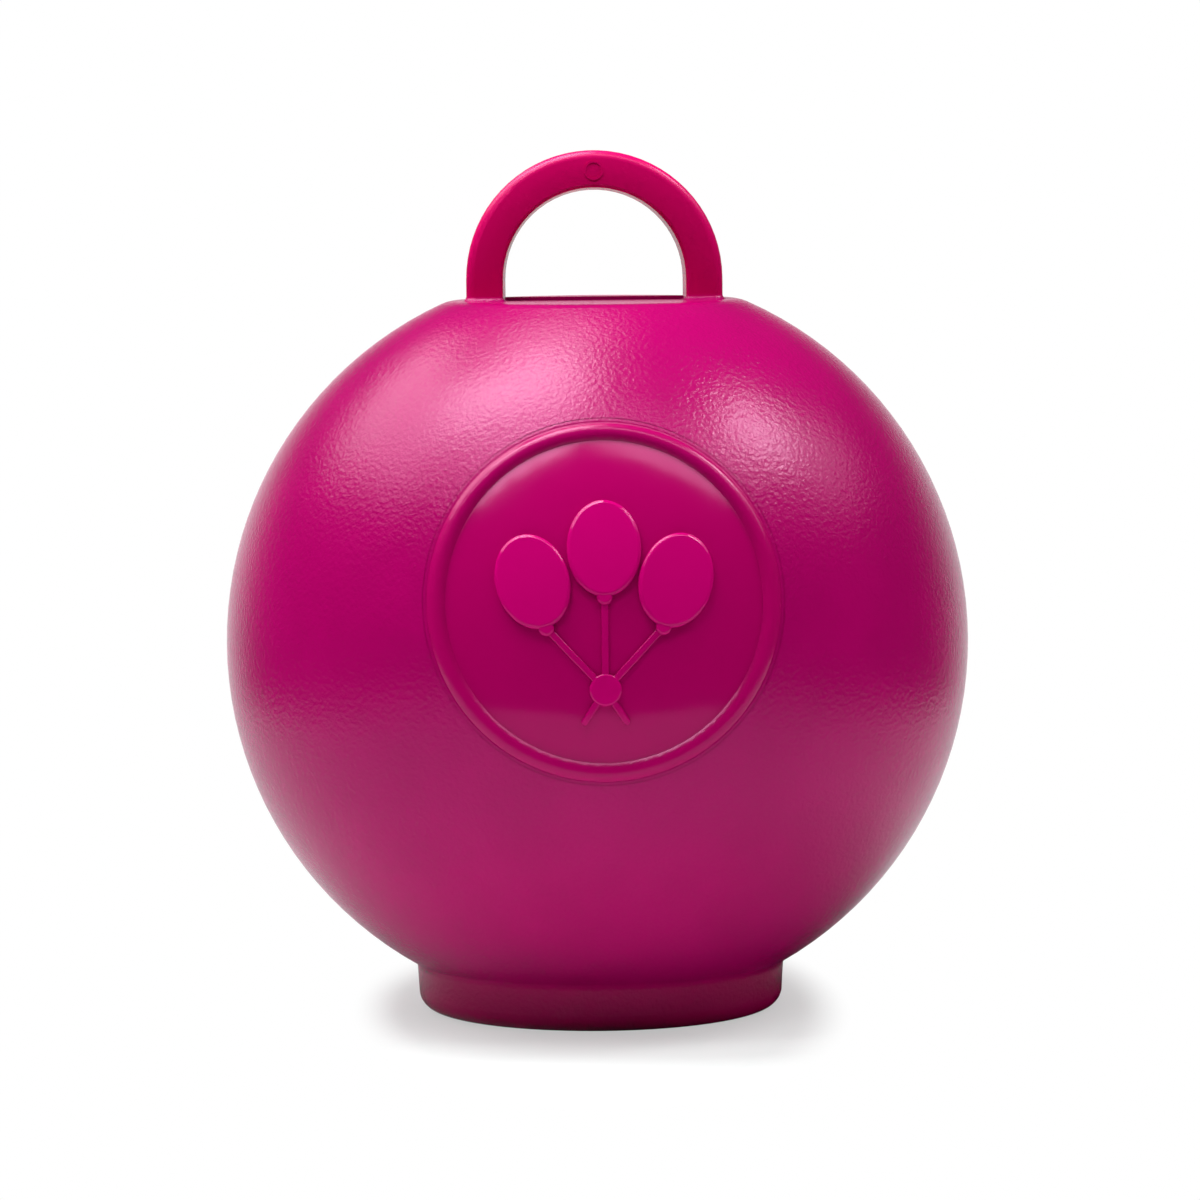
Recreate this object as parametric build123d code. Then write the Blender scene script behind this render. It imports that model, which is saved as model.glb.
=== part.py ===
from build123d import *
import os
from math import cos, radians, sin, sqrt, tan

# Balloon weight, in millimetres: +Z up, the panel faces -Y, the origin is under the foot's centre.

# Ball
BALL_DIAMETER = 50.0
SHELL_WALL = 2.0
TOP_MARGIN = 1.2
TOP_EDGE_RADIUS = 2.5

# Handle
HANDLE_OPENING = 11.9
HANDLE_BAR = 2.65
HANDLE_DEPTH = 3.6
HANDLE_LEG_RISE = 1.4
HANDLE_CROWN_RADIUS = 8.0
HANDLE_CROWN_SHIFT = 0.8
HANDLE_OUTER_EDGE_RADIUS = 0.65
HANDLE_INNER_EDGE_RADIUS = 0.25
HANDLE_INNER_DRAFT = 0.2
LEG_ROOT_RADIUS = 0.3
LEG_ROOT_DEPTH_SHARE = 0.5
GATE_MARK_DIAMETER = 1.3
GATE_MARK_WIDTH = 0.14
GATE_MARK_HEIGHT = 0.04

# Round panel on the front
PANEL_DIAMETER = 20.6
PANEL_RISE = 4.55
PANEL_RECESS = 0.22
RIM_WIDTH = 1.0
RIM_HEIGHT = 0.2
INSERT_LINE_OFFSET = 0.2
INSERT_LINE_WIDTH = 0.1
INSERT_LINE_DEPTH = 0.03

# Raised balloons on the panel, placed and sized as shares of the panel's radius
BALLOON_RELIEF = 0.4
KNOT_RELIEF = 0.34
TIE_RELIEF = 0.22
STRING_RELIEF = 0.17
MOTIF_EDGE_SHARE = 0.65
BALLOON_PLACE_SHARES = ((-0.44, 0.14), (0.0, 0.34), (0.44, 0.14))
BALLOON_TILTS = (16.0, 0.0, -16.0)
BALLOON_HALF_WIDTH_SHARE = 0.23
BALLOON_HALF_HEIGHT_SHARE = 0.29
KNOT_SHARE = 0.05
STRING_WIDTH_SHARE = 0.045
TIE_PLACE_SHARES = (0.0, -0.52)
TIE_RADIUS_SHARE = 0.1
TIE_HOLD_SHARE = 0.7
TAIL_END_SHARES = ((-0.13, -0.72), (0.13, -0.72))

# Foot
FOOT_DIAMETER = 24.84
FOOT_HEIGHT = 3.16
FOOT_DRAFT = 3.4
FOOT_EDGE_RADIUS = 1.2
FOOT_CREASE_RADIUS = 0.6
FOOT_RING_WIDTH = 2.8

# Filling neck in the foot and the cap that closes it from below
CAP_SINK = 0.3
CAP_FLOOR = 1.1
CAP_CLEARANCE = 0.05
NECK_SEAT_WIDTH = 0.9
NECK_WALL = 1.4
NECK_STAND = 2.2
PLUG_WALL = 1.2
PLUG_CLEARANCE = 0.05
SNAP_BITE = 0.3
SNAP_HEIGHT = 0.7

# Seam between the two shells
SEAM_GROOVE = 0.1
SEAM_RIDGE_HEIGHT = 0.22
SEAM_RIDGE_WIDTH = 0.6
TONGUE_WIDTH = 0.7
TONGUE_HEIGHT = 0.8
TONGUE_CLEARANCE = 0.05
PIN_ANGLES = (25.0, 90.0, 155.0)
PIN_WIDTH_SHARE = 0.38
PIN_LENGTH_SHARE = 0.6
PIN_CLEARANCE = 0.05

# Sand
SAND_HEADROOM = 12.5
SAND_CLEARANCE = 0.1

# Cuts run this far past what they cut
OVERRUN = 1.0

# Radii worked out from the sizes above
ball_radius = BALL_DIAMETER / 2
inner_radius = ball_radius - SHELL_WALL
arch_inner = HANDLE_OPENING / 2
arch_outer = arch_inner + HANDLE_BAR
arch_middle = (arch_inner + arch_outer) / 2
crown_x = arch_middle - HANDLE_CROWN_SHIFT
crown_y = HANDLE_CROWN_RADIUS - HANDLE_DEPTH / 2
flat_radius = arch_outer + TOP_MARGIN
panel_radius = PANEL_DIAMETER / 2
rim_middle = panel_radius + RIM_WIDTH / 2
rim_radius = panel_radius + RIM_WIDTH
rim_bar_radius = (RIM_WIDTH**2 / 4 + RIM_HEIGHT**2) / (2 * RIM_HEIGHT)
foot_radius = FOOT_DIAMETER / 2
pocket_radius = foot_radius - FOOT_RING_WIDTH
bore_radius = pocket_radius - NECK_SEAT_WIDTH
neck_radius = bore_radius + NECK_WALL
plug_radius = bore_radius - PLUG_CLEARANCE
plug_bore = plug_radius - PLUG_WALL


def sagitta(radius, reach):
    """Height of a sphere's surface above or below its centre, at a distance from its axis."""
    return sqrt(radius**2 - reach**2)


# Heights above the table, from the foot upwards
seat_z = CAP_SINK + CAP_FLOOR + CAP_CLEARANCE
centre_z = FOOT_HEIGHT + sagitta(ball_radius, foot_radius)
neck_top = centre_z - sagitta(inner_radius, neck_radius) + NECK_STAND
plug_top = neck_top + CAP_CLEARANCE + SNAP_HEIGHT
panel_z = centre_z + PANEL_RISE
flat_z = centre_z + sagitta(ball_radius, flat_radius)
ceiling_z = flat_z - SHELL_WALL
sand_z = ceiling_z - SAND_HEADROOM
arch_z = flat_z + HANDLE_LEG_RISE
root_z = flat_z - LEG_ROOT_DEPTH_SHARE * SHELL_WALL


def rect(x0, z0, x1, z1):
    """Rectangle between two corners of the upright XZ plane."""
    return Pos((x0 + x1) / 2, (z0 + z1) / 2) * Rectangle(x1 - x0, z1 - z0)


def disc(radius, z):
    """Disc in the upright XZ plane, centred on the Z axis."""
    return Pos(0, z) * Circle(radius)


def turned(profile):
    """Solid turned about the Z axis from a profile beside it."""
    return revolve(Plane.XZ * profile, axis=Axis.Z)


def prism(profile, front_y, back_y):
    """Solid along Y from a profile in the XZ plane."""
    return extrude(Plane.XZ.offset(-back_y) * profile, amount=back_y - front_y)


def ball(radius):
    """Whole sphere about the ball's centre."""
    return Pos(0, 0, centre_z) * Sphere(radius)


def outside_section():
    """Half of the outline of ball and foot, beside the Z axis, with its soft corners."""
    foot_end = foot_radius - FOOT_HEIGHT * tan(radians(FOOT_DRAFT))
    section = disc(ball_radius, centre_z) & rect(0, 0, ball_radius, flat_z)
    section += Polygon((0, 0), (foot_end, 0), (foot_radius, FOOT_HEIGHT), (0, FOOT_HEIGHT), align=None)
    for corner, radius in (
        ((flat_radius, flat_z), TOP_EDGE_RADIUS),
        ((foot_radius, FOOT_HEIGHT), FOOT_CREASE_RADIUS),
        ((foot_end, 0), FOOT_EDGE_RADIUS),
    ):
        section = fillet(section.vertices().sort_by_distance(corner)[0], radius)
    return section


def shell_wall():
    """Wall of the ball with its flat top, its foot and its filling neck, before it is halved."""
    outside = outside_section()
    inside = disc(inner_radius, centre_z) & rect(0, 0, ball_radius, ceiling_z)
    neck = outside & rect(bore_radius, 0, neck_radius, neck_top)
    bore = rect(0, 0, bore_radius, neck_top)
    pocket = rect(0, 0, pocket_radius, seat_z)
    return turned((outside - inside) + neck - bore - pocket)


def handle_outline():
    """Outline of the arch and its legs, rooted half way into the wall."""
    outside = disc(arch_outer, arch_z) & rect(-arch_outer, arch_z, arch_outer, arch_z + arch_outer)
    outside += rect(-arch_outer, root_z, arch_outer, arch_z)
    return outside - disc(arch_inner, arch_z) - rect(-arch_inner, root_z, arch_inner, arch_z)


def bar_section():
    """Section of the right leg: crowned in front and behind, drafted inside, with soft corners."""
    half_depth = HANDLE_DEPTH / 2
    drafted = arch_inner + HANDLE_INNER_DRAFT
    section = Polygon(
        (arch_inner, 0),
        (drafted, -half_depth),
        (arch_outer, -half_depth),
        (arch_outer, half_depth),
        (drafted, half_depth),
        align=None,
    )
    for middle_y in (-crown_y, crown_y):
        section &= Pos(crown_x, middle_y) * Circle(HANDLE_CROWN_RADIUS)
    outer = section.vertices().group_by(Axis.X)[-1]
    section = fillet(outer, HANDLE_OUTER_EDGE_RADIUS)
    inner = section.vertices().group_by(Axis.X)[1]
    return fillet(inner, HANDLE_INNER_EDGE_RADIUS)


def handle_bar():
    """Arch on two legs."""
    section = Plane.XY.offset(arch_z) * bar_section()
    arch = revolve(section, axis=Axis((0, 0, arch_z), (0, -1, 0)), revolution_arc=180)
    leg = extrude(section, amount=root_z - arch_z)
    return arch + leg + mirror(leg, about=Plane.YZ)


def leg_root_edges(body):
    """Edges where the handle's legs stand on the flat top."""
    low = Vector(-arch_outer, -HANDLE_DEPTH / 2, flat_z)
    high = Vector(arch_outer, HANDLE_DEPTH / 2, flat_z)
    slack = LEG_ROOT_RADIUS / 10
    found = []
    for edge in body.edges():
        box = edge.bounding_box()
        inside = box.min.X > low.X - slack and box.max.X < high.X + slack
        inside = inside and box.min.Y > low.Y - slack and box.max.Y < high.Y + slack
        flat = abs(box.min.Z - flat_z) < slack and abs(box.max.Z - flat_z) < slack
        if inside and flat:
            found.append(edge)
    return found


def ridge_outline():
    """Outline of the low ridge that follows the seam between the handle's legs."""
    return rect(-arch_middle, root_z, arch_middle, flat_z + SEAM_RIDGE_HEIGHT)


def seam_cut():
    """Fine groove that follows the seam round the foot, the ball and the handle."""
    half = outside_section()
    outline = half + mirror(half, about=Plane.YZ) + handle_outline() + ridge_outline()
    groove = outline - offset(outline, amount=-SEAM_GROOVE)
    return prism(groove, -SEAM_GROOVE / 2, SEAM_GROOVE / 2)


def tongue(clearance):
    """Ridge along the middle of the wall, on both sides of the ball; its groove adds a clearance."""
    middle = ball_radius - SHELL_WALL / 2
    half = TONGUE_WIDTH / 2 + clearance
    band = disc(middle + half, centre_z) - disc(middle - half, centre_z)
    band &= rect(-ball_radius, neck_top - clearance, ball_radius, ceiling_z + clearance)
    return prism(band, -TONGUE_HEIGHT - clearance, TONGUE_HEIGHT)


def locating_pins(clearance):
    """Pins across the seam inside the handle; their sockets add a clearance."""
    radius = PIN_WIDTH_SHARE * HANDLE_BAR / 2 + clearance
    length = PIN_LENGTH_SHARE * HANDLE_DEPTH / 2
    pins = []
    for angle in PIN_ANGLES:
        x = arch_middle * cos(radians(angle))
        z = arch_z + arch_middle * sin(radians(angle))
        pins.append(prism(Pos(x, z) * Circle(radius), -length - clearance, length))
    return pins


def panel_recess():
    """Cut that sinks the panel's floor below the ball's surface, out to the middle of the bead."""
    return prism(disc(rim_middle, panel_z), -ball_radius - OVERRUN, 0) - ball(ball_radius - PANEL_RECESS)


def rim_path():
    """Line inside the wall that the middle of the bead's round bar follows."""
    cap = prism(disc(rim_middle, PANEL_RISE), -ball_radius - OVERRUN, 0) & Sphere(ball_radius)
    line = cap.faces().sort_by(Axis.Y)[0].outer_wire()
    shrink = (ball_radius + RIM_HEIGHT - rim_bar_radius) / ball_radius
    return Pos(0, 0, centre_z) * scale(line, by=shrink)


def panel_rim():
    """Bead round the panel: a round bar sunk in the wall, of which the crown stands out."""
    path = rim_path()
    section = Plane(path @ 0, z_dir=path % 0) * Circle(rim_bar_radius)
    return sweep(section, path=path)


def insert_line():
    """Hairline round the rim, where the mould's round insert meets the mould."""
    radius = rim_radius + INSERT_LINE_OFFSET
    ring = disc(radius + INSERT_LINE_WIDTH / 2, panel_z) - disc(radius - INSERT_LINE_WIDTH / 2, panel_z)
    return prism(ring, -ball_radius - OVERRUN, 0) - ball(ball_radius - INSERT_LINE_DEPTH)


def raised(outline, relief):
    """Part of the motif that stands proud of the panel's floor, with a soft edge."""
    floor_radius = ball_radius - PANEL_RECESS
    block = prism(Pos(0, panel_z) * outline, -ball_radius - OVERRUN, 0) & ball(floor_radius + relief)
    block -= ball(floor_radius - relief)
    crown = max(block.faces().filter_by(GeomType.SPHERE), key=lambda face: face.radius)
    return fillet(crown.edges(), MOTIF_EDGE_SHARE * relief)


def strand(end):
    """Raised string from the tie to a point of the panel, rounded at both ends."""
    width = STRING_WIDTH_SHARE * panel_radius
    hold = TIE_HOLD_SHARE * TIE_RADIUS_SHARE * panel_radius
    start = tie_place() + (end - tie_place()).normalized() * hold
    line = Line(start, end)
    slot = SlotOverall(line.length + width, width, rotation=line.tangent_angle_at(0))
    return raised(slot.moved(Location(line @ 0.5)), STRING_RELIEF)


def balloon(place, tilt):
    """Parts of one balloon: its body, its knot and its string."""
    half_width = BALLOON_HALF_WIDTH_SHARE * panel_radius
    half_height = BALLOON_HALF_HEIGHT_SHARE * panel_radius
    spot = Location((place[0], place[1], 0), (0, 0, tilt))
    knot = (spot * Location((0, -half_height, 0))).position
    return [
        raised(spot * Ellipse(half_width, half_height), BALLOON_RELIEF),
        raised(Pos(knot) * Circle(KNOT_SHARE * panel_radius), KNOT_RELIEF),
        strand(knot),
    ]


def tie_place():
    """Point of the panel where the strings meet."""
    return Vector(TIE_PLACE_SHARES[0] * panel_radius, TIE_PLACE_SHARES[1] * panel_radius)


def panel_motif():
    """Parts of the motif: three plain balloons on strings that meet in a round tie."""
    parts = [raised(Pos(tie_place()) * Circle(TIE_RADIUS_SHARE * panel_radius), TIE_RELIEF)]
    for (x_share, z_share), tilt in zip(BALLOON_PLACE_SHARES, BALLOON_TILTS):
        parts += balloon((x_share * panel_radius, z_share * panel_radius), tilt)
    for x_share, z_share in TAIL_END_SHARES:
        parts.append(strand(Vector(x_share * panel_radius, z_share * panel_radius)))
    return parts


def gate_mark():
    """Fine raised ring at the top of the handle, square to its front face there."""
    out = Vector(0, -sqrt(HANDLE_CROWN_RADIUS**2 - HANDLE_CROWN_SHIFT**2), HANDLE_CROWN_SHIFT)
    crown_middle = Vector(0, crown_y, arch_z + crown_x)
    face = Plane(crown_middle + out, x_dir=(1, 0, 0), z_dir=out)
    ring = Circle(GATE_MARK_DIAMETER / 2) - Circle(GATE_MARK_DIAMETER / 2 - GATE_MARK_WIDTH)
    sunk = face.offset(-GATE_MARK_WIDTH) * ring
    return extrude(sunk, amount=GATE_MARK_WIDTH + GATE_MARK_HEIGHT)


def whole_shell():
    """Ball wall and handle in one, with the seam's ridge and groove, before it is halved."""
    body = shell_wall() + handle_bar()
    body = fillet(leg_root_edges(body), LEG_ROOT_RADIUS)
    body += prism(ridge_outline(), -SEAM_RIDGE_WIDTH / 2, SEAM_RIDGE_WIDTH / 2)
    return body - seam_cut()


def front_shell(whole):
    """Front half: panel, rim and motif outside, groove and sockets on the seam."""
    half = split(whole, Plane.XZ, keep=Keep.TOP)
    half -= panel_recess()
    half += panel_rim()
    half -= insert_line()
    half += panel_motif()
    half += gate_mark()
    half -= tongue(TONGUE_CLEARANCE)
    for socket in locating_pins(PIN_CLEARANCE):
        half -= socket
    return half


def rear_shell(whole):
    """Rear half, with the tongue and the locating pins."""
    half = split(whole, Plane.XZ, keep=Keep.BOTTOM)
    half += tongue(0)
    for pin in locating_pins(0):
        half += pin
    return half


def base_cap():
    """Cap sunk in the foot's underside, with a plug that snaps over the top of the filling neck."""
    flange = rect(0, CAP_SINK, pocket_radius - CAP_CLEARANCE, CAP_SINK + CAP_FLOOR)
    wall = rect(plug_bore, CAP_SINK, plug_radius, plug_top)
    snap_foot = neck_top + CAP_CLEARANCE
    snap = Polygon(
        (plug_bore, snap_foot),
        (bore_radius + SNAP_BITE, snap_foot),
        (plug_radius, plug_top),
        (plug_bore, plug_top),
        align=None,
    )
    return turned(flange + wall + snap)


def sand_fill():
    """Sand settled level in the ball, round the neck and down inside the plug."""
    gap = SAND_CLEARANCE
    fill = disc(inner_radius - gap, centre_z) & rect(0, 0, ball_radius, sand_z)
    fill -= rect(0, 0, neck_radius + gap, plug_top + gap)
    fill += rect(0, CAP_SINK + CAP_FLOOR + gap, plug_bore - gap, plug_top + gap)
    return turned(fill)


def main():
    """Builds each piece and writes it to its own file."""
    whole = whole_shell()
    pieces = {
        "front_shell": front_shell(whole),
        "rear_shell": rear_shell(whole),
        "base_cap": base_cap(),
        "sand_fill": sand_fill(),
    }
    os.makedirs("parts", exist_ok=True)
    for name, shape in pieces.items():
        export_step(shape, f"parts/{name}.step")
        print(name, round(shape.volume), "mm3,", len(shape.solids()), "solid")


main()
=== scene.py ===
"""Balloon weight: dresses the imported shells, base cap and sand, and sets up their studio."""

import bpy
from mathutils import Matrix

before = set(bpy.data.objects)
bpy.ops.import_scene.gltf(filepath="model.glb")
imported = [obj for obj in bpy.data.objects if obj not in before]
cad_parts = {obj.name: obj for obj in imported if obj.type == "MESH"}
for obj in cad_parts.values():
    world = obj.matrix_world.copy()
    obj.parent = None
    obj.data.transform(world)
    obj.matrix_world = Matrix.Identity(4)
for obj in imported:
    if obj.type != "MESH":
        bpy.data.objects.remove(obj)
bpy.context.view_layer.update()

import logging
import math
from dataclasses import dataclass
from enum import Enum
from typing import Mapping

import bpy
from mathutils import Matrix, Vector

LOG = logging.getLogger("balloon_weight")
MM = 0.001

Colour = tuple[float, float, float, float]
# Where a soft edge begins and where it is full
Span = tuple[float, float]

WHITE: Colour = (1.0, 1.0, 1.0, 1.0)
BLACK: Colour = (0.0, 0.0, 0.0, 1.0)

# Sockets whose names repeat on their node go by place: those of a colour Mix, then of a Mix Shader
MIX_SHARE, MIX_FIRST, MIX_SECOND, MIX_RESULT = 0, 6, 7, 2
BLEND_SHARE, BLEND_FIRST, BLEND_SECOND = 0, 1, 2


@dataclass(frozen=True)
class Wire:
    """One output socket that takes part in shader maths as if it were a number."""

    graph: "Graph"
    socket: bpy.types.NodeSocket

    def __add__(self, other: "Value") -> "Wire":
        """Sum of two values."""
        return self.graph.math("ADD", self, other)

    def __sub__(self, other: "Value") -> "Wire":
        """Difference of two values."""
        return self.graph.math("SUBTRACT", self, other)

    def __mul__(self, other: "Value") -> "Wire":
        """Product of two values."""
        return self.graph.math("MULTIPLY", self, other)

    def __pow__(self, other: "Value") -> "Wire":
        """Power of two values."""
        return self.graph.math("POWER", self, other)

    def __radd__(self, other: float) -> "Wire":
        """Sum that starts with a number."""
        return self.graph.math("ADD", other, self)

    def __rsub__(self, other: float) -> "Wire":
        """Difference that starts with a number."""
        return self.graph.math("SUBTRACT", other, self)

    def __rmul__(self, other: float) -> "Wire":
        """Product that starts with a number."""
        return self.graph.math("MULTIPLY", other, self)

    def ramp(self, start: float, end: float) -> "Wire":
        """Smooth step of this value.

        Args:
            start: Value where the step is still 0.
            end: Value where the step has come to 1; below start, the step runs downwards.

        Returns:
            A value from 0 to 1.
        """
        settings = {"interpolation_type": "SMOOTHSTEP"}
        sockets = {"Value": self, "From Min": start, "From Max": end}
        return self.graph.add("ShaderNodeMapRange", settings, sockets)["Result"]


Value = Wire | float


@dataclass(frozen=True)
class Made:
    """A node that was added to a graph; its outputs are read by name."""

    graph: "Graph"
    node: bpy.types.Node

    def __getitem__(self, name: str) -> Wire:
        """Output socket of that name."""
        return Wire(self.graph, self.node.outputs[name])


@dataclass(frozen=True)
class Spots:
    """Soft noise of a finish.

    Attributes:
        size: Size of its spots, in metres.
        detail: How many finer layers it has.
        weight: Weight of the finer layers.
    """

    size: float
    detail: float = 2.0
    weight: float = 0.5


class Graph:
    """Node tree of one material or of the world."""

    def __init__(self, tree: bpy.types.NodeTree) -> None:
        """Empties the tree and keeps it."""
        tree.nodes.clear()
        self.tree = tree

    def add(
        self,
        kind: str,
        settings: Mapping[str, object] | None = None,
        sockets: Mapping[str | int, object] | None = None,
    ) -> Made:
        """Adds one node.

        Args:
            kind: Blender's name of the node's type.
            settings: The node's own settings, set before its sockets.
            sockets: Values or wires for its inputs, by name or by place.

        Returns:
            The node.
        """
        node = self.tree.nodes.new(kind)
        for name, value in (settings or {}).items():
            setattr(node, name, value)
        for name, value in (sockets or {}).items():
            if isinstance(value, Wire):
                self.tree.links.new(value.socket, node.inputs[name])
            else:
                node.inputs[name].default_value = value
        return Made(self, node)

    def math(self, operation: str, *values: Value) -> Wire:
        """Adds a Math node.

        Args:
            operation: Blender's name of the operation.
            values: Its one or two values.

        Returns:
            The result.
        """
        return self.add("ShaderNodeMath", {"operation": operation}, dict(enumerate(values)))["Value"]

    def distance(self, *sides: Wire) -> Wire:
        """Distance that goes this far along each of two or three axes."""
        squares = [side * side for side in sides]
        return sum(squares[1:], squares[0]) ** 0.5

    def colour_mix(self, share: Value, first: object, second: object) -> Wire:
        """Mixes two colours.

        Args:
            share: Share of the second colour, from 0 to 1.
            first: Colour, or a wire that carries one, at 0.
            second: Colour, or a wire that carries one, at 1.

        Returns:
            The mixed colour.
        """
        sockets = {MIX_SHARE: share, MIX_FIRST: first, MIX_SECOND: second}
        made = self.add("ShaderNodeMix", {"data_type": "RGBA"}, sockets)
        return Wire(self, made.node.outputs[MIX_RESULT])

    def place(self) -> Wire:
        """Place on the piece, in metres in the part's own frame."""
        return self.add("ShaderNodeTexCoord")["Object"]

    def split(self, vector: Wire) -> tuple[Wire, Wire, Wire]:
        """X, Y and Z of a vector."""
        parts = self.add("ShaderNodeSeparateXYZ", None, {"Vector": vector})
        return parts["X"], parts["Y"], parts["Z"]

    def noise(self, place: Wire, spots: Spots) -> Wire:
        """Soft noise.

        Args:
            place: Where on the piece.
            spots: What the noise is like.

        Returns:
            A value about 0.5.
        """
        sockets = {
            "Vector": place,
            "Scale": 1 / spots.size,
            "Detail": spots.detail,
            "Roughness": spots.weight,
        }
        return self.add("ShaderNodeTexNoise", None, sockets)["Fac"]

    def bump(self, height: Wire, depth: float, under: Wire | None = None) -> Wire:
        """Fine relief.

        Args:
            height: Height of the relief, from 0 to 1.
            depth: Depth of the relief, in metres.
            under: Normal of a relief that lies under it, if there is one.

        Returns:
            The normal of the relief.
        """
        sockets = {"Height": height, "Distance": depth}
        if under is not None:
            sockets["Normal"] = under
        return self.add("ShaderNodeBump", None, sockets)["Normal"]

    def rays(self) -> tuple[Wire, Wire]:
        """Kinds of rays.

        Returns:
            1 for rays from the camera, and 1 for rays that were mirrored or passed through a piece.
        """
        light = self.add("ShaderNodeLightPath")
        mirrored = self.math("MAXIMUM", light["Is Glossy Ray"], light["Is Transmission Ray"])
        return light["Is Camera Ray"], mirrored

    def finish(self, kind: str, output: str, sockets: Mapping[str | int, object]) -> None:
        """Adds the closing shader and its output node.

        Args:
            kind: Blender's name of the shader's type.
            output: Blender's name of the output node's type.
            sockets: Values or wires for the shader's inputs.
        """
        shader = self.add(kind, None, sockets)
        self.add(output, None, {"Surface": Wire(self, shader.node.outputs[0])})

    def surface(self, sockets: Mapping[str, object]) -> None:
        """Closes a material with one Principled shader."""
        self.finish("ShaderNodeBsdfPrincipled", "ShaderNodeOutputMaterial", sockets)


def new_material(name: str) -> tuple[bpy.types.Material, Graph]:
    """Makes an empty material.

    Args:
        name: Its name.

    Returns:
        The material and its graph.
    """
    material = bpy.data.materials.new(name)
    material.use_nodes = True
    return material, Graph(material.node_tree)


class Piece(str, Enum):
    """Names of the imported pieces."""

    FRONT_SHELL = "front_shell"
    REAR_SHELL = "rear_shell"
    BASE_CAP = "base_cap"
    SAND_FILL = "sand_fill"


@dataclass(frozen=True)
class BallSizes:
    """Sizes of the ball that finishes and camera follow, in metres.

    Attributes:
        radius: Radius of the ball.
        centre_z: Height of its centre.
        flat_z: Height of its flat top.
        foot_z: Height of the foot.
        panel_z: Height of the panel's middle.
        panel_radius: Radius of the panel within its bead.
        rim_radius: Radius of the panel with its bead.
        panel_floor: How far the panel's floor is from the ball's centre.
    """

    radius: float = 25.0 * MM
    centre_z: float = 24.857 * MM
    flat_z: float = 47.856 * MM
    foot_z: float = 2.66 * MM
    panel_z: float = 29.407 * MM
    panel_radius: float = 10.3 * MM
    rim_radius: float = 11.3 * MM
    panel_floor: float = 24.78 * MM

    @property
    def centre(self) -> Vector:
        """Centre of the ball."""
        return Vector((0, 0, self.centre_z))


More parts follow.
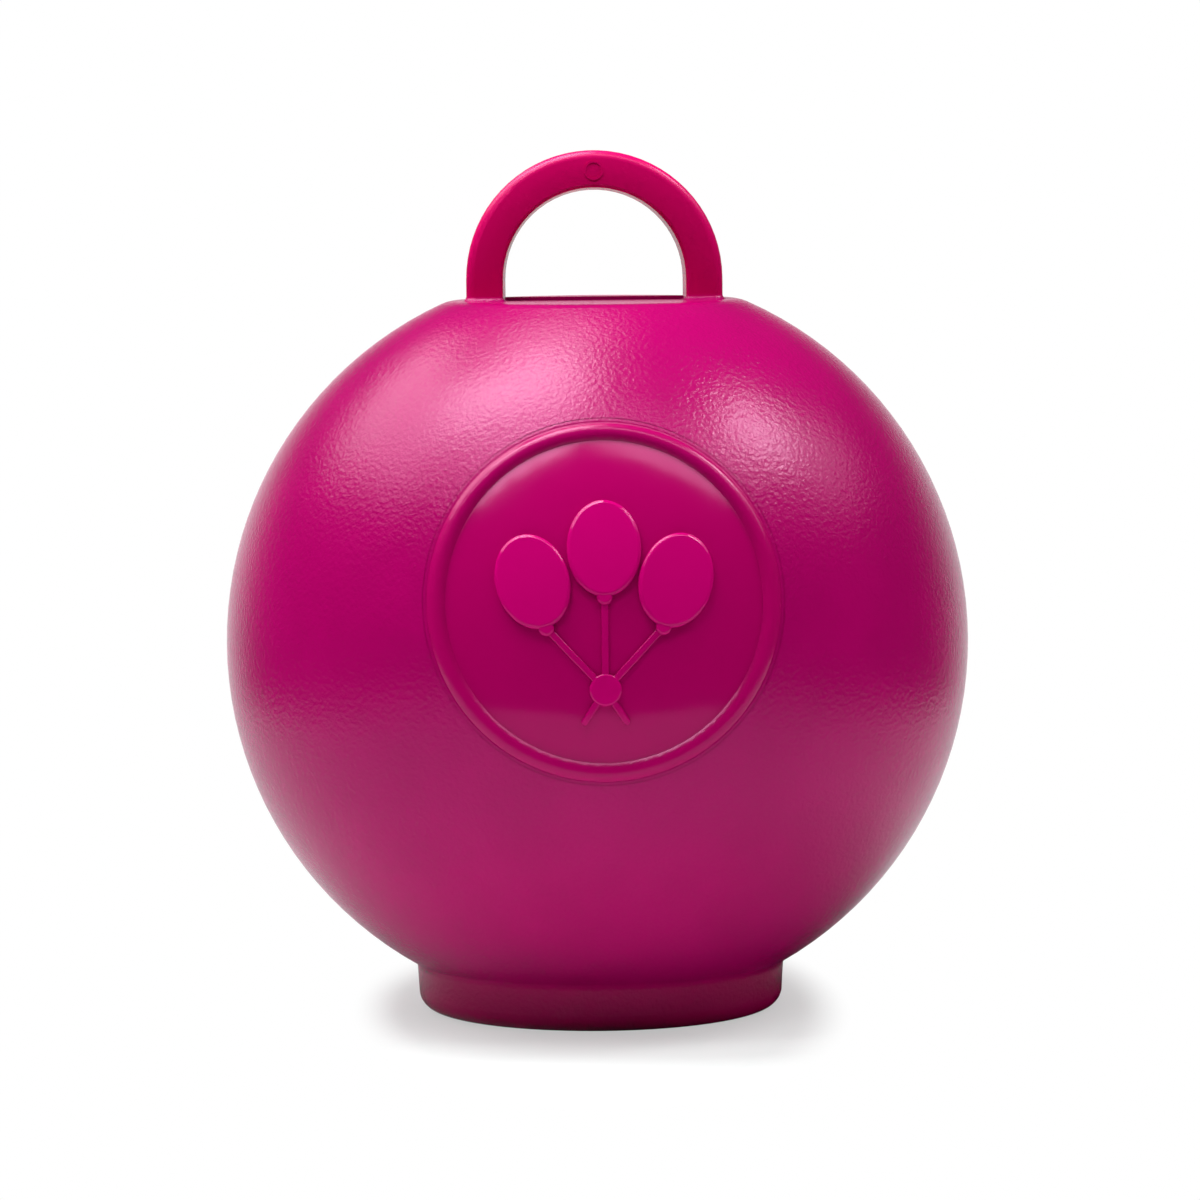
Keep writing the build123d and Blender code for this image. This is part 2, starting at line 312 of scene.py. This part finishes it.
@dataclass(frozen=True)
class ShellPlastic:
    """Moulded magenta plastic: grained on ball, flat top and foot, polished on panel and handle.

    Attributes:
        sizes: Sizes of the ball.
        grained: Colour of the grained ball.
        grained_pale: Its colour where it is mottled.
        panel: Colour of the panel, a little lighter copy of the grained colour: painted light on the
            panel.
        raised: Colour of what stands proud of the panel's floor, a lighter copy still: painted light
            on the raised motif.
        handle: Colour of the handle, a much lighter copy of the grained colour: painted light on the
            handle.
        foot: Colour of the foot, a lighter copy of the grained colour: painted light that lifts the
            shade under the ball.
        gloss_tint: Tint of what the plastic mirrors.
        ior: How strongly it mirrors.
        front_edge: Where the front begins and is full, along Y.
        handle_edge: Where the handle's colour begins and is full, above the flat top.
        foot_edge: Where the foot's colour begins and is full, above the foot's height.
        spot_edge: Soft edge of a round spot, beyond its radius.
        floor_margin: How far within the bead the glossiest part of the panel ends.
        motif_rise: Where the raised motif's colour begins and is full, above the panel's floor.
        motif_edge: Where the room for the motif begins and is full, beyond the panel's radius.
        mottle: Soft clouds in the colour.
        mottle_span: Where those clouds begin and are full.
        wear: Dull spots.
        grain: Grain of the mould.
        grain_depth: Depth of the grain.
        ripple: Waves in the surface, also where it is polished.
        ripple_depth: Depth of the waves.
        rough: Roughness of the plastic.
        wear_rough: Roughness that the dull spots add.
        handle_rough: Roughness that the handle adds.
        floor_polish: Roughness that the panel's floor takes away.
    """

    sizes: BallSizes
    grained: Colour = (0.300, 0.0, 0.087, 1.0)
    grained_pale: Colour = (0.320, 0.0, 0.093, 1.0)
    # Panel, motif, handle and foot take lighter copies of the grained colour: painted light on those
    # parts
    panel: Colour = (0.325, 0.0, 0.086, 1.0)
    raised: Colour = (0.43, 0.0, 0.120, 1.0)
    handle: Colour = (0.55, 0.0, 0.104, 1.0)
    foot: Colour = (0.38, 0.0, 0.090, 1.0)
    gloss_tint: Colour = (1.0, 0.53, 0.83, 1.0)
    ior: float = 1.36
    front_edge: Span = (0.0, -1 * MM)
    handle_edge: Span = (0.05 * MM, 0.4 * MM)
    foot_edge: Span = (0.9 * MM, 0.0)
    spot_edge: Span = (0.08 * MM, -0.05 * MM)
    floor_margin: float = 0.3 * MM
    motif_rise: Span = (0.10 * MM, 0.22 * MM)
    motif_edge: Span = (-0.1 * MM, -0.3 * MM)
    mottle: Spots = Spots(7 * MM, 3.0)
    mottle_span: Span = (0.35, 0.65)
    wear: Spots = Spots(3 * MM, 4.0, 0.6)
    grain: Spots = Spots(0.30 * MM, 3.0, 0.55)
    grain_depth: float = 0.045 * MM
    ripple: Spots = Spots(2.6 * MM, 1.0)
    ripple_depth: float = 0.01 * MM
    rough: float = 0.18
    wear_rough: float = 0.06
    handle_rough: float = 0.06
    floor_polish: float = 0.10

    def material(self) -> bpy.types.Material:
        """Builds the finish.

        Returns:
            The material.
        """
        material, graph = new_material("shell_plastic")
        place = graph.place()
        _, y, z = graph.split(place)
        in_front = y.ramp(*self.front_edge)
        on_panel = self.within(graph, place, self.sizes.rim_radius) * in_front
        on_floor = self.within(graph, place, self.sizes.panel_radius - self.floor_margin) * in_front
        on_handle = (z - self.sizes.flat_z).ramp(*self.handle_edge)
        on_foot = (z - self.sizes.foot_z).ramp(*self.foot_edge)
        mottle = graph.noise(place, self.mottle).ramp(*self.mottle_span)
        colour = graph.colour_mix(mottle, self.grained, self.grained_pale)
        # These coats lay painted light on panel, motif, handle and foot, over the plastic's own
        # mottled colour
        for share, paint in (
            (on_foot, self.foot),
            (on_panel, self.panel),
            (self.on_motif(graph, place) * on_panel, self.raised),
            (on_handle, self.handle),
        ):
            colour = graph.colour_mix(share, colour, paint)
        dull = self.rough + self.wear_rough * graph.noise(place, self.wear)
        polished = graph.math("MAXIMUM", on_panel, on_handle)
        grain = graph.noise(place, self.grain) * (1 - polished)
        waves = graph.bump(graph.noise(place, self.ripple), self.ripple_depth)
        graph.surface(
            {
                "Base Color": colour,
                "Roughness": dull + on_handle * self.handle_rough - on_floor * self.floor_polish,
                "IOR": self.ior,
                "Specular Tint": self.gloss_tint,
                "Normal": graph.bump(grain, self.grain_depth, waves),
            }
        )
        return material

    def from_panel(self, graph: Graph, place: Wire) -> Wire:
        """Distance from the panel's middle, seen along Y, in metres."""
        x, _, z = graph.split(place)
        return graph.distance(x, z - self.sizes.panel_z)

    def within(self, graph: Graph, place: Wire, radius: float) -> Wire:
        """Round spot about the panel's middle, seen along Y.

        Args:
            graph: Graph that the nodes go to.
            place: Where on the piece.
            radius: Radius of the spot, in metres.

        Returns:
            1 within the spot and 0 beyond it.
        """
        return (self.from_panel(graph, place) - radius).ramp(*self.spot_edge)

    def on_motif(self, graph: Graph, place: Wire) -> Wire:
        """What stands proud of the panel's floor within its bead.

        Args:
            graph: Graph that the nodes go to.
            place: Where on the piece.

        Returns:
            1 on the raised motif and 0 elsewhere.
        """
        x, y, z = graph.split(place)
        height = graph.distance(x, y, z - self.sizes.centre_z) - self.sizes.panel_floor
        beyond = self.from_panel(graph, place) - self.sizes.panel_radius
        return height.ramp(*self.motif_rise) * beyond.ramp(*self.motif_edge)


@dataclass(frozen=True)
class CapPlastic:
    """Plainer magenta plastic of the base cap, a little rougher, with turning marks and scuffs.

    Attributes:
        colour: Colour of the cap.
        scuffed: Its colour where it is scuffed.
        scuff_share: How much of that colour the scuffs take on.
        scuffs: Scuffs from standing.
        scuff_span: Where the scuffs begin and are full.
        ring_pitch: Distance between the turning marks.
        ring_share: Height of the marks, as a share of the relief.
        grain: Grain of the mould.
        relief: Depth of marks and grain.
        rough: Roughness of the plastic.
        scuff_rough: Roughness that the scuffs add.
    """

    colour: Colour = (0.34, 0.0, 0.096, 1.0)
    scuffed: Colour = (0.42, 0.03, 0.140, 1.0)
    scuff_share: float = 0.6
    scuffs: Spots = Spots(1.2 * MM, 5.0, 0.7)
    scuff_span: Span = (0.52, 0.75)
    ring_pitch: float = 0.5 * MM
    ring_share: float = 0.25
    grain: Spots = Spots(0.3 * MM)
    relief: float = 0.02 * MM
    rough: float = 0.42
    scuff_rough: float = 0.2

    def material(self) -> bpy.types.Material:
        """Builds the finish.

        Returns:
            The material.
        """
        material, graph = new_material("cap_plastic")
        place = graph.place()
        x, y, _ = graph.split(place)
        rings = graph.math("SINE", graph.distance(x, y) * (2 * math.pi / self.ring_pitch))
        scuffs = graph.noise(place, self.scuffs).ramp(*self.scuff_span)
        height = rings * self.ring_share + graph.noise(place, self.grain)
        graph.surface(
            {
                "Base Color": graph.colour_mix(scuffs * self.scuff_share, self.colour, self.scuffed),
                "Roughness": self.rough + self.scuff_rough * scuffs,
                "Normal": graph.bump(height, self.relief),
            }
        )
        return material


@dataclass(frozen=True)
class Sand:
    """Dry sand: small grains of mixed tone.

    Attributes:
        pale: Colour of the palest grains.
        dark: Colour of the darkest grains.
        grain: Size of a grain.
        grain_share: Share of the tone that differs from grain to grain.
        drift: Clouds of paler and darker sand, which give the rest of the tone.
        relief: Height of the grains.
        rough: Roughness of the darkest grains.
        grain_rough: Roughness that the palest grains add.
    """

    pale: Colour = (0.66, 0.52, 0.34, 1.0)
    dark: Colour = (0.34, 0.24, 0.14, 1.0)
    grain: float = 0.35 * MM
    grain_share: float = 0.7
    drift: Spots = Spots(6 * MM, 3.0)
    relief: float = 0.15 * MM
    rough: float = 0.8
    grain_rough: float = 0.15

    def material(self) -> bpy.types.Material:
        """Builds the finish.

        Returns:
            The material.
        """
        material, graph = new_material("sand")
        place = graph.place()
        grains = graph.add("ShaderNodeTexVoronoi", None, {"Vector": place, "Scale": 1 / self.grain})
        tone, _, _ = graph.split(grains["Color"])
        drift = graph.noise(place, self.drift)
        share = tone * self.grain_share + drift * (1 - self.grain_share)
        graph.surface(
            {
                "Base Color": graph.colour_mix(share, self.dark, self.pale),
                "Roughness": self.rough + self.grain_rough * tone,
                "Normal": graph.bump(1 - grains["Distance"], self.relief),
            }
        )
        return material


@dataclass(frozen=True)
class Paper:
    """White studio paper: near the foot a darker paper shows, a painted shadow with the real shadow
    on it, and the sweep beyond it is plain white.

    Attributes:
        colour: Colour of the paper.
        seen: Its colour to the camera, near the foot: darker and greener than its own, painted shade
            that deepens the shadow and cancels its pink cast.
        near_white: Share of plain white near the foot, where the painted and the real shadow show.
        shade_edge: Distance from the foot's middle over which the painted shadow gives way to white.
        shade_stretch: Shrinks that distance along Y, so that the painted shadow reaches further
            there.
        mirror_edge: Distance over which the paper that the ball mirrors goes from dark to bright: a
            painted shadow in what it mirrors.
        mirror_shift: How far the dark patch that it mirrors, a painted shadow, lies to the right.
        mirror_glow: Brightness of the paper that it mirrors.
        fibre: Fibres of the paper.
        fibre_depth: Depth of the fibres.
        rough: Roughness of the paper.
        fibre_rough: Roughness that the fibres add.
    """

    colour: Colour = (0.76, 0.76, 0.76, 1.0)
    seen: Colour = (0.585, 0.63, 0.615, 1.0)
    near_white: float = 0.485
    shade_edge: Span = (13.2 * MM, 17.0 * MM)
    shade_stretch: float = 0.42
    mirror_edge: Span = (8 * MM, 44 * MM)
    mirror_shift: float = 5 * MM
    mirror_glow: float = 0.9
    fibre: Spots = Spots(0.8 * MM, 4.0)
    fibre_depth: float = 0.02 * MM
    rough: float = 0.85
    fibre_rough: float = 0.1

    def material(self) -> bpy.types.Material:
        """Builds the finish.

        Returns:
            The material.
        """
        material, graph = new_material("floor_paper")
        place = graph.place()
        x, y, _ = graph.split(place)
        direct, mirrored = graph.rays()
        # Within this stretched ring near the foot the camera sees part of the darker paper: a painted
        # shadow, with the real shadow on it
        beyond = graph.distance(x, y * self.shade_stretch).ramp(*self.shade_edge)
        sweep = self.near_white + (1 - self.near_white) * beyond
        # What the ball mirrors is glowing paper, dark near the foot: a painted shadow in its
        # reflection, shifted to the right
        clear = graph.distance(x - self.mirror_shift, y).ramp(*self.mirror_edge)
        level = direct + mirrored * clear * self.mirror_glow
        glow = graph.add("ShaderNodeEmission", None, {"Color": graph.colour_mix(level, BLACK, WHITE)})
        fibre = graph.noise(place, self.fibre)
        # To the camera the sheet has the darker seen colour: painted shade near the foot
        sheet = graph.add(
            "ShaderNodeBsdfPrincipled",
            None,
            {
                "Base Color": graph.colour_mix(direct, self.colour, self.seen),
                "Roughness": self.rough + self.fibre_rough * fibre,
                "Normal": graph.bump(fibre, self.fibre_depth),
            },
        )
        graph.finish(
            "ShaderNodeMixShader",
            "ShaderNodeOutputMaterial",
            {
                BLEND_SHARE: direct * sweep + mirrored,
                BLEND_FIRST: sheet["BSDF"],
                BLEND_SECOND: glow["Emission"],
            },
        )
        return material


def dress(piece: Piece, material: bpy.types.Material) -> None:
    """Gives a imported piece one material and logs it.

    Args:
        piece: The piece.
        material: Its material.
    """
    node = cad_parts[piece.value]
    node.data.materials.clear()
    node.data.materials.append(material)
    LOG.info("dressed %s in %s", piece.value, material.name)


@dataclass(frozen=True)
class Shells:
    """Front and rear half of the ball, with foot and handle.

    Attributes:
        sizes: Sizes of the ball.
    """

    sizes: BallSizes

    def dress(self) -> None:
        """Gives both halves the same plastic."""
        plastic = ShellPlastic(self.sizes).material()
        for piece in (Piece.FRONT_SHELL, Piece.REAR_SHELL):
            dress(piece, plastic)


@dataclass(frozen=True)
class Ballast:
    """Sand inside the ball and the cap that keeps it in."""

    def dress(self) -> None:
        """Gives the cap its plastic and the filling its sand."""
        dress(Piece.BASE_CAP, CapPlastic().material())
        dress(Piece.SAND_FILL, Sand().material())


@dataclass(frozen=True)
class SoftBox:
    """Soft box of an overhead bank, facing down.

    Attributes:
        name: Its name.
        middle: X and Y of its middle, in metres.
        size: Its length and width, in metres.
        glow: Brightness of its face.
        turn: Its turn about the vertical, in degrees.
    """

    name: str
    middle: tuple[float, float]
    size: tuple[float, float]
    glow: float
    turn: float = 0.0

    def build(self, height: float) -> None:
        """Hangs the box.

        Args:
            height: Height of its face above the floor, in metres.
        """
        length, width = self.size
        lamp = bpy.data.lights.new(self.name, "AREA")
        lamp.shape = "RECTANGLE"
        lamp.size, lamp.size_y = length, width
        lamp.energy = math.pi * length * width * self.glow
        box = bpy.data.objects.new(self.name, lamp)
        box.location = (*self.middle, height)
        box.rotation_euler = (0, 0, math.radians(self.turn))
        box.visible_camera = False
        bpy.context.collection.objects.link(box)


@dataclass(frozen=True)
class Studio:
    """White paper, soft boxes above and a white surround.

    Attributes:
        reach: How far the paper goes from its middle, in metres.
        surround: Strength of the surround where it is white.
        ambient: Strength of the surround where it is dim.
        cards_behind: Where the white cards begin and are full, towards the back.
        cards_height: Where they begin and are full, from the top down.
        bank: Height of the soft boxes, in metres.
        boxes: The soft boxes.
    """

    reach: float = 0.095
    surround: float = 1.0
    ambient: float = 0.03
    cards_behind: Span = (0.65, 1.0)
    cards_height: Span = (0.28, 0.02)
    bank: float = 0.625
    boxes: tuple[SoftBox, ...] = (
        SoftBox("bank_front_left", (-0.297, -0.30), (0.52, 0.14), 12.0, 23.0),
        SoftBox("bank_front_right", (0.27, -0.285), (0.60, 0.15), 6.5, -16.0),
        SoftBox("bank_left", (-0.21, 0.015), (0.38, 0.26), 16.5),
        SoftBox("bank_left_side", (-0.60, 0.025), (0.40, 0.35), 5.8),
        SoftBox("bank_rear_left", (-0.60, 0.42), (0.60, 0.40), 4.3),
        SoftBox("bank_rear", (-0.09, 0.26), (0.22, 0.20), 4.2),
        SoftBox("bank_right", (0.48, -0.005), (0.28, 0.20), 20.5),
        SoftBox("bank_right_side", (0.86, 0.175), (0.48, 0.45), 2.2),
    )

    def build(self) -> None:
        """Sets up paper, surround and soft boxes."""
        self.paper()
        self.world()
        for box in self.boxes:
            box.build(self.bank)

    def paper(self) -> None:
        """Lays the paper on the floor."""
        mesh = bpy.data.meshes.new("floor")
        reach = self.reach
        corners = [(-reach, -reach, 0), (reach, -reach, 0), (reach, reach, 0), (-reach, reach, 0)]
        mesh.from_pydata(corners, [], [(0, 1, 2, 3)])
        mesh.materials.append(Paper().material())
        floor = bpy.data.objects.new("floor", mesh)
        bpy.context.collection.objects.link(floor)

    def world(self) -> None:
        """Makes the surround: white to the camera and, in what the ball mirrors, low behind it."""
        world = bpy.data.worlds.new("surround")
        bpy.context.scene.world = world
        world.use_nodes = True
        graph = Graph(world.node_tree)
        _, y, z = graph.split(graph.add("ShaderNodeTexCoord")["Generated"])
        direct, mirrored = graph.rays()
        cards = y.ramp(*self.cards_behind) * z.ramp(*self.cards_height)
        white = graph.math("MAXIMUM", direct, mirrored * cards)
        strength = self.ambient + (self.surround - self.ambient) * white
        graph.finish(
            "ShaderNodeBackground",
            "ShaderNodeOutputWorld",
            {"Color": WHITE, "Strength": strength},
        )


@dataclass(frozen=True)
class PhotoCamera:
    """Camera where the photograph was taken from.

    Attributes:
        sizes: Sizes of the ball.
        distance: Distance from the ball's centre, in radii of the ball.
        elevation: Angle above the ball's centre, in degrees.
        yaw: Angle by which it stands to the left of the panel, in degrees.
        roll: Tilt of the picture, in degrees.
        focal_px: Focal length, in pixels of the photograph.
        frame_px: Width of the photograph, in pixels.
        ball_px: Where the ball's centre is in the photograph, from its upper left corner.
        near: Distance from which on things are in view, in metres.
    """

    sizes: BallSizes
    distance: float = 14.91
    elevation: float = 5.45
    yaw: float = 1.13
    roll: float = 0.54
    focal_px: float = 5514.0
    frame_px: float = 1200.0
    ball_px: tuple[float, float] = (597.06, 639.9)
    near: float = 10 * MM

    def build(self) -> None:
        """Places the camera and makes it the scene's."""
        half = self.frame_px / 2
        lens = bpy.data.cameras.new("photo_camera")
        lens.sensor_fit = "HORIZONTAL"
        lens.angle = 2 * math.atan(half / self.focal_px)
        lens.clip_start = self.near
        camera = bpy.data.objects.new("photo_camera", lens)
        bpy.context.collection.objects.link(camera)
        rise, turn = math.radians(self.elevation), math.radians(self.yaw)
        level = math.cos(rise)
        way = Vector((-level * math.sin(turn), -level * math.cos(turn), math.sin(rise)))
        look = (-way).to_track_quat("-Z", "Y").to_matrix().to_4x4()
        right, down = (math.atan((pixel - half) / self.focal_px) for pixel in self.ball_px)
        aim = Matrix.Rotation(math.radians(-self.roll), 4, "Z")
        aim = Matrix.Rotation(down, 4, "X") @ Matrix.Rotation(right, 4, "Y") @ aim
        place = self.sizes.centre + way * self.distance * self.sizes.radius
        camera.matrix_world = Matrix.Translation(place) @ look @ aim
        bpy.context.scene.camera = camera


def main() -> None:
    """Dresses each piece, then sets up the studio and the camera."""
    logging.basicConfig(level=logging.INFO, format="%(message)s")
    sizes = BallSizes()
    Shells(sizes).dress()
    Ballast().dress()
    Studio().build()
    PhotoCamera(sizes).build()
    bpy.context.scene.view_settings.view_transform = "Standard"


if __name__ == "__main__":
    main()
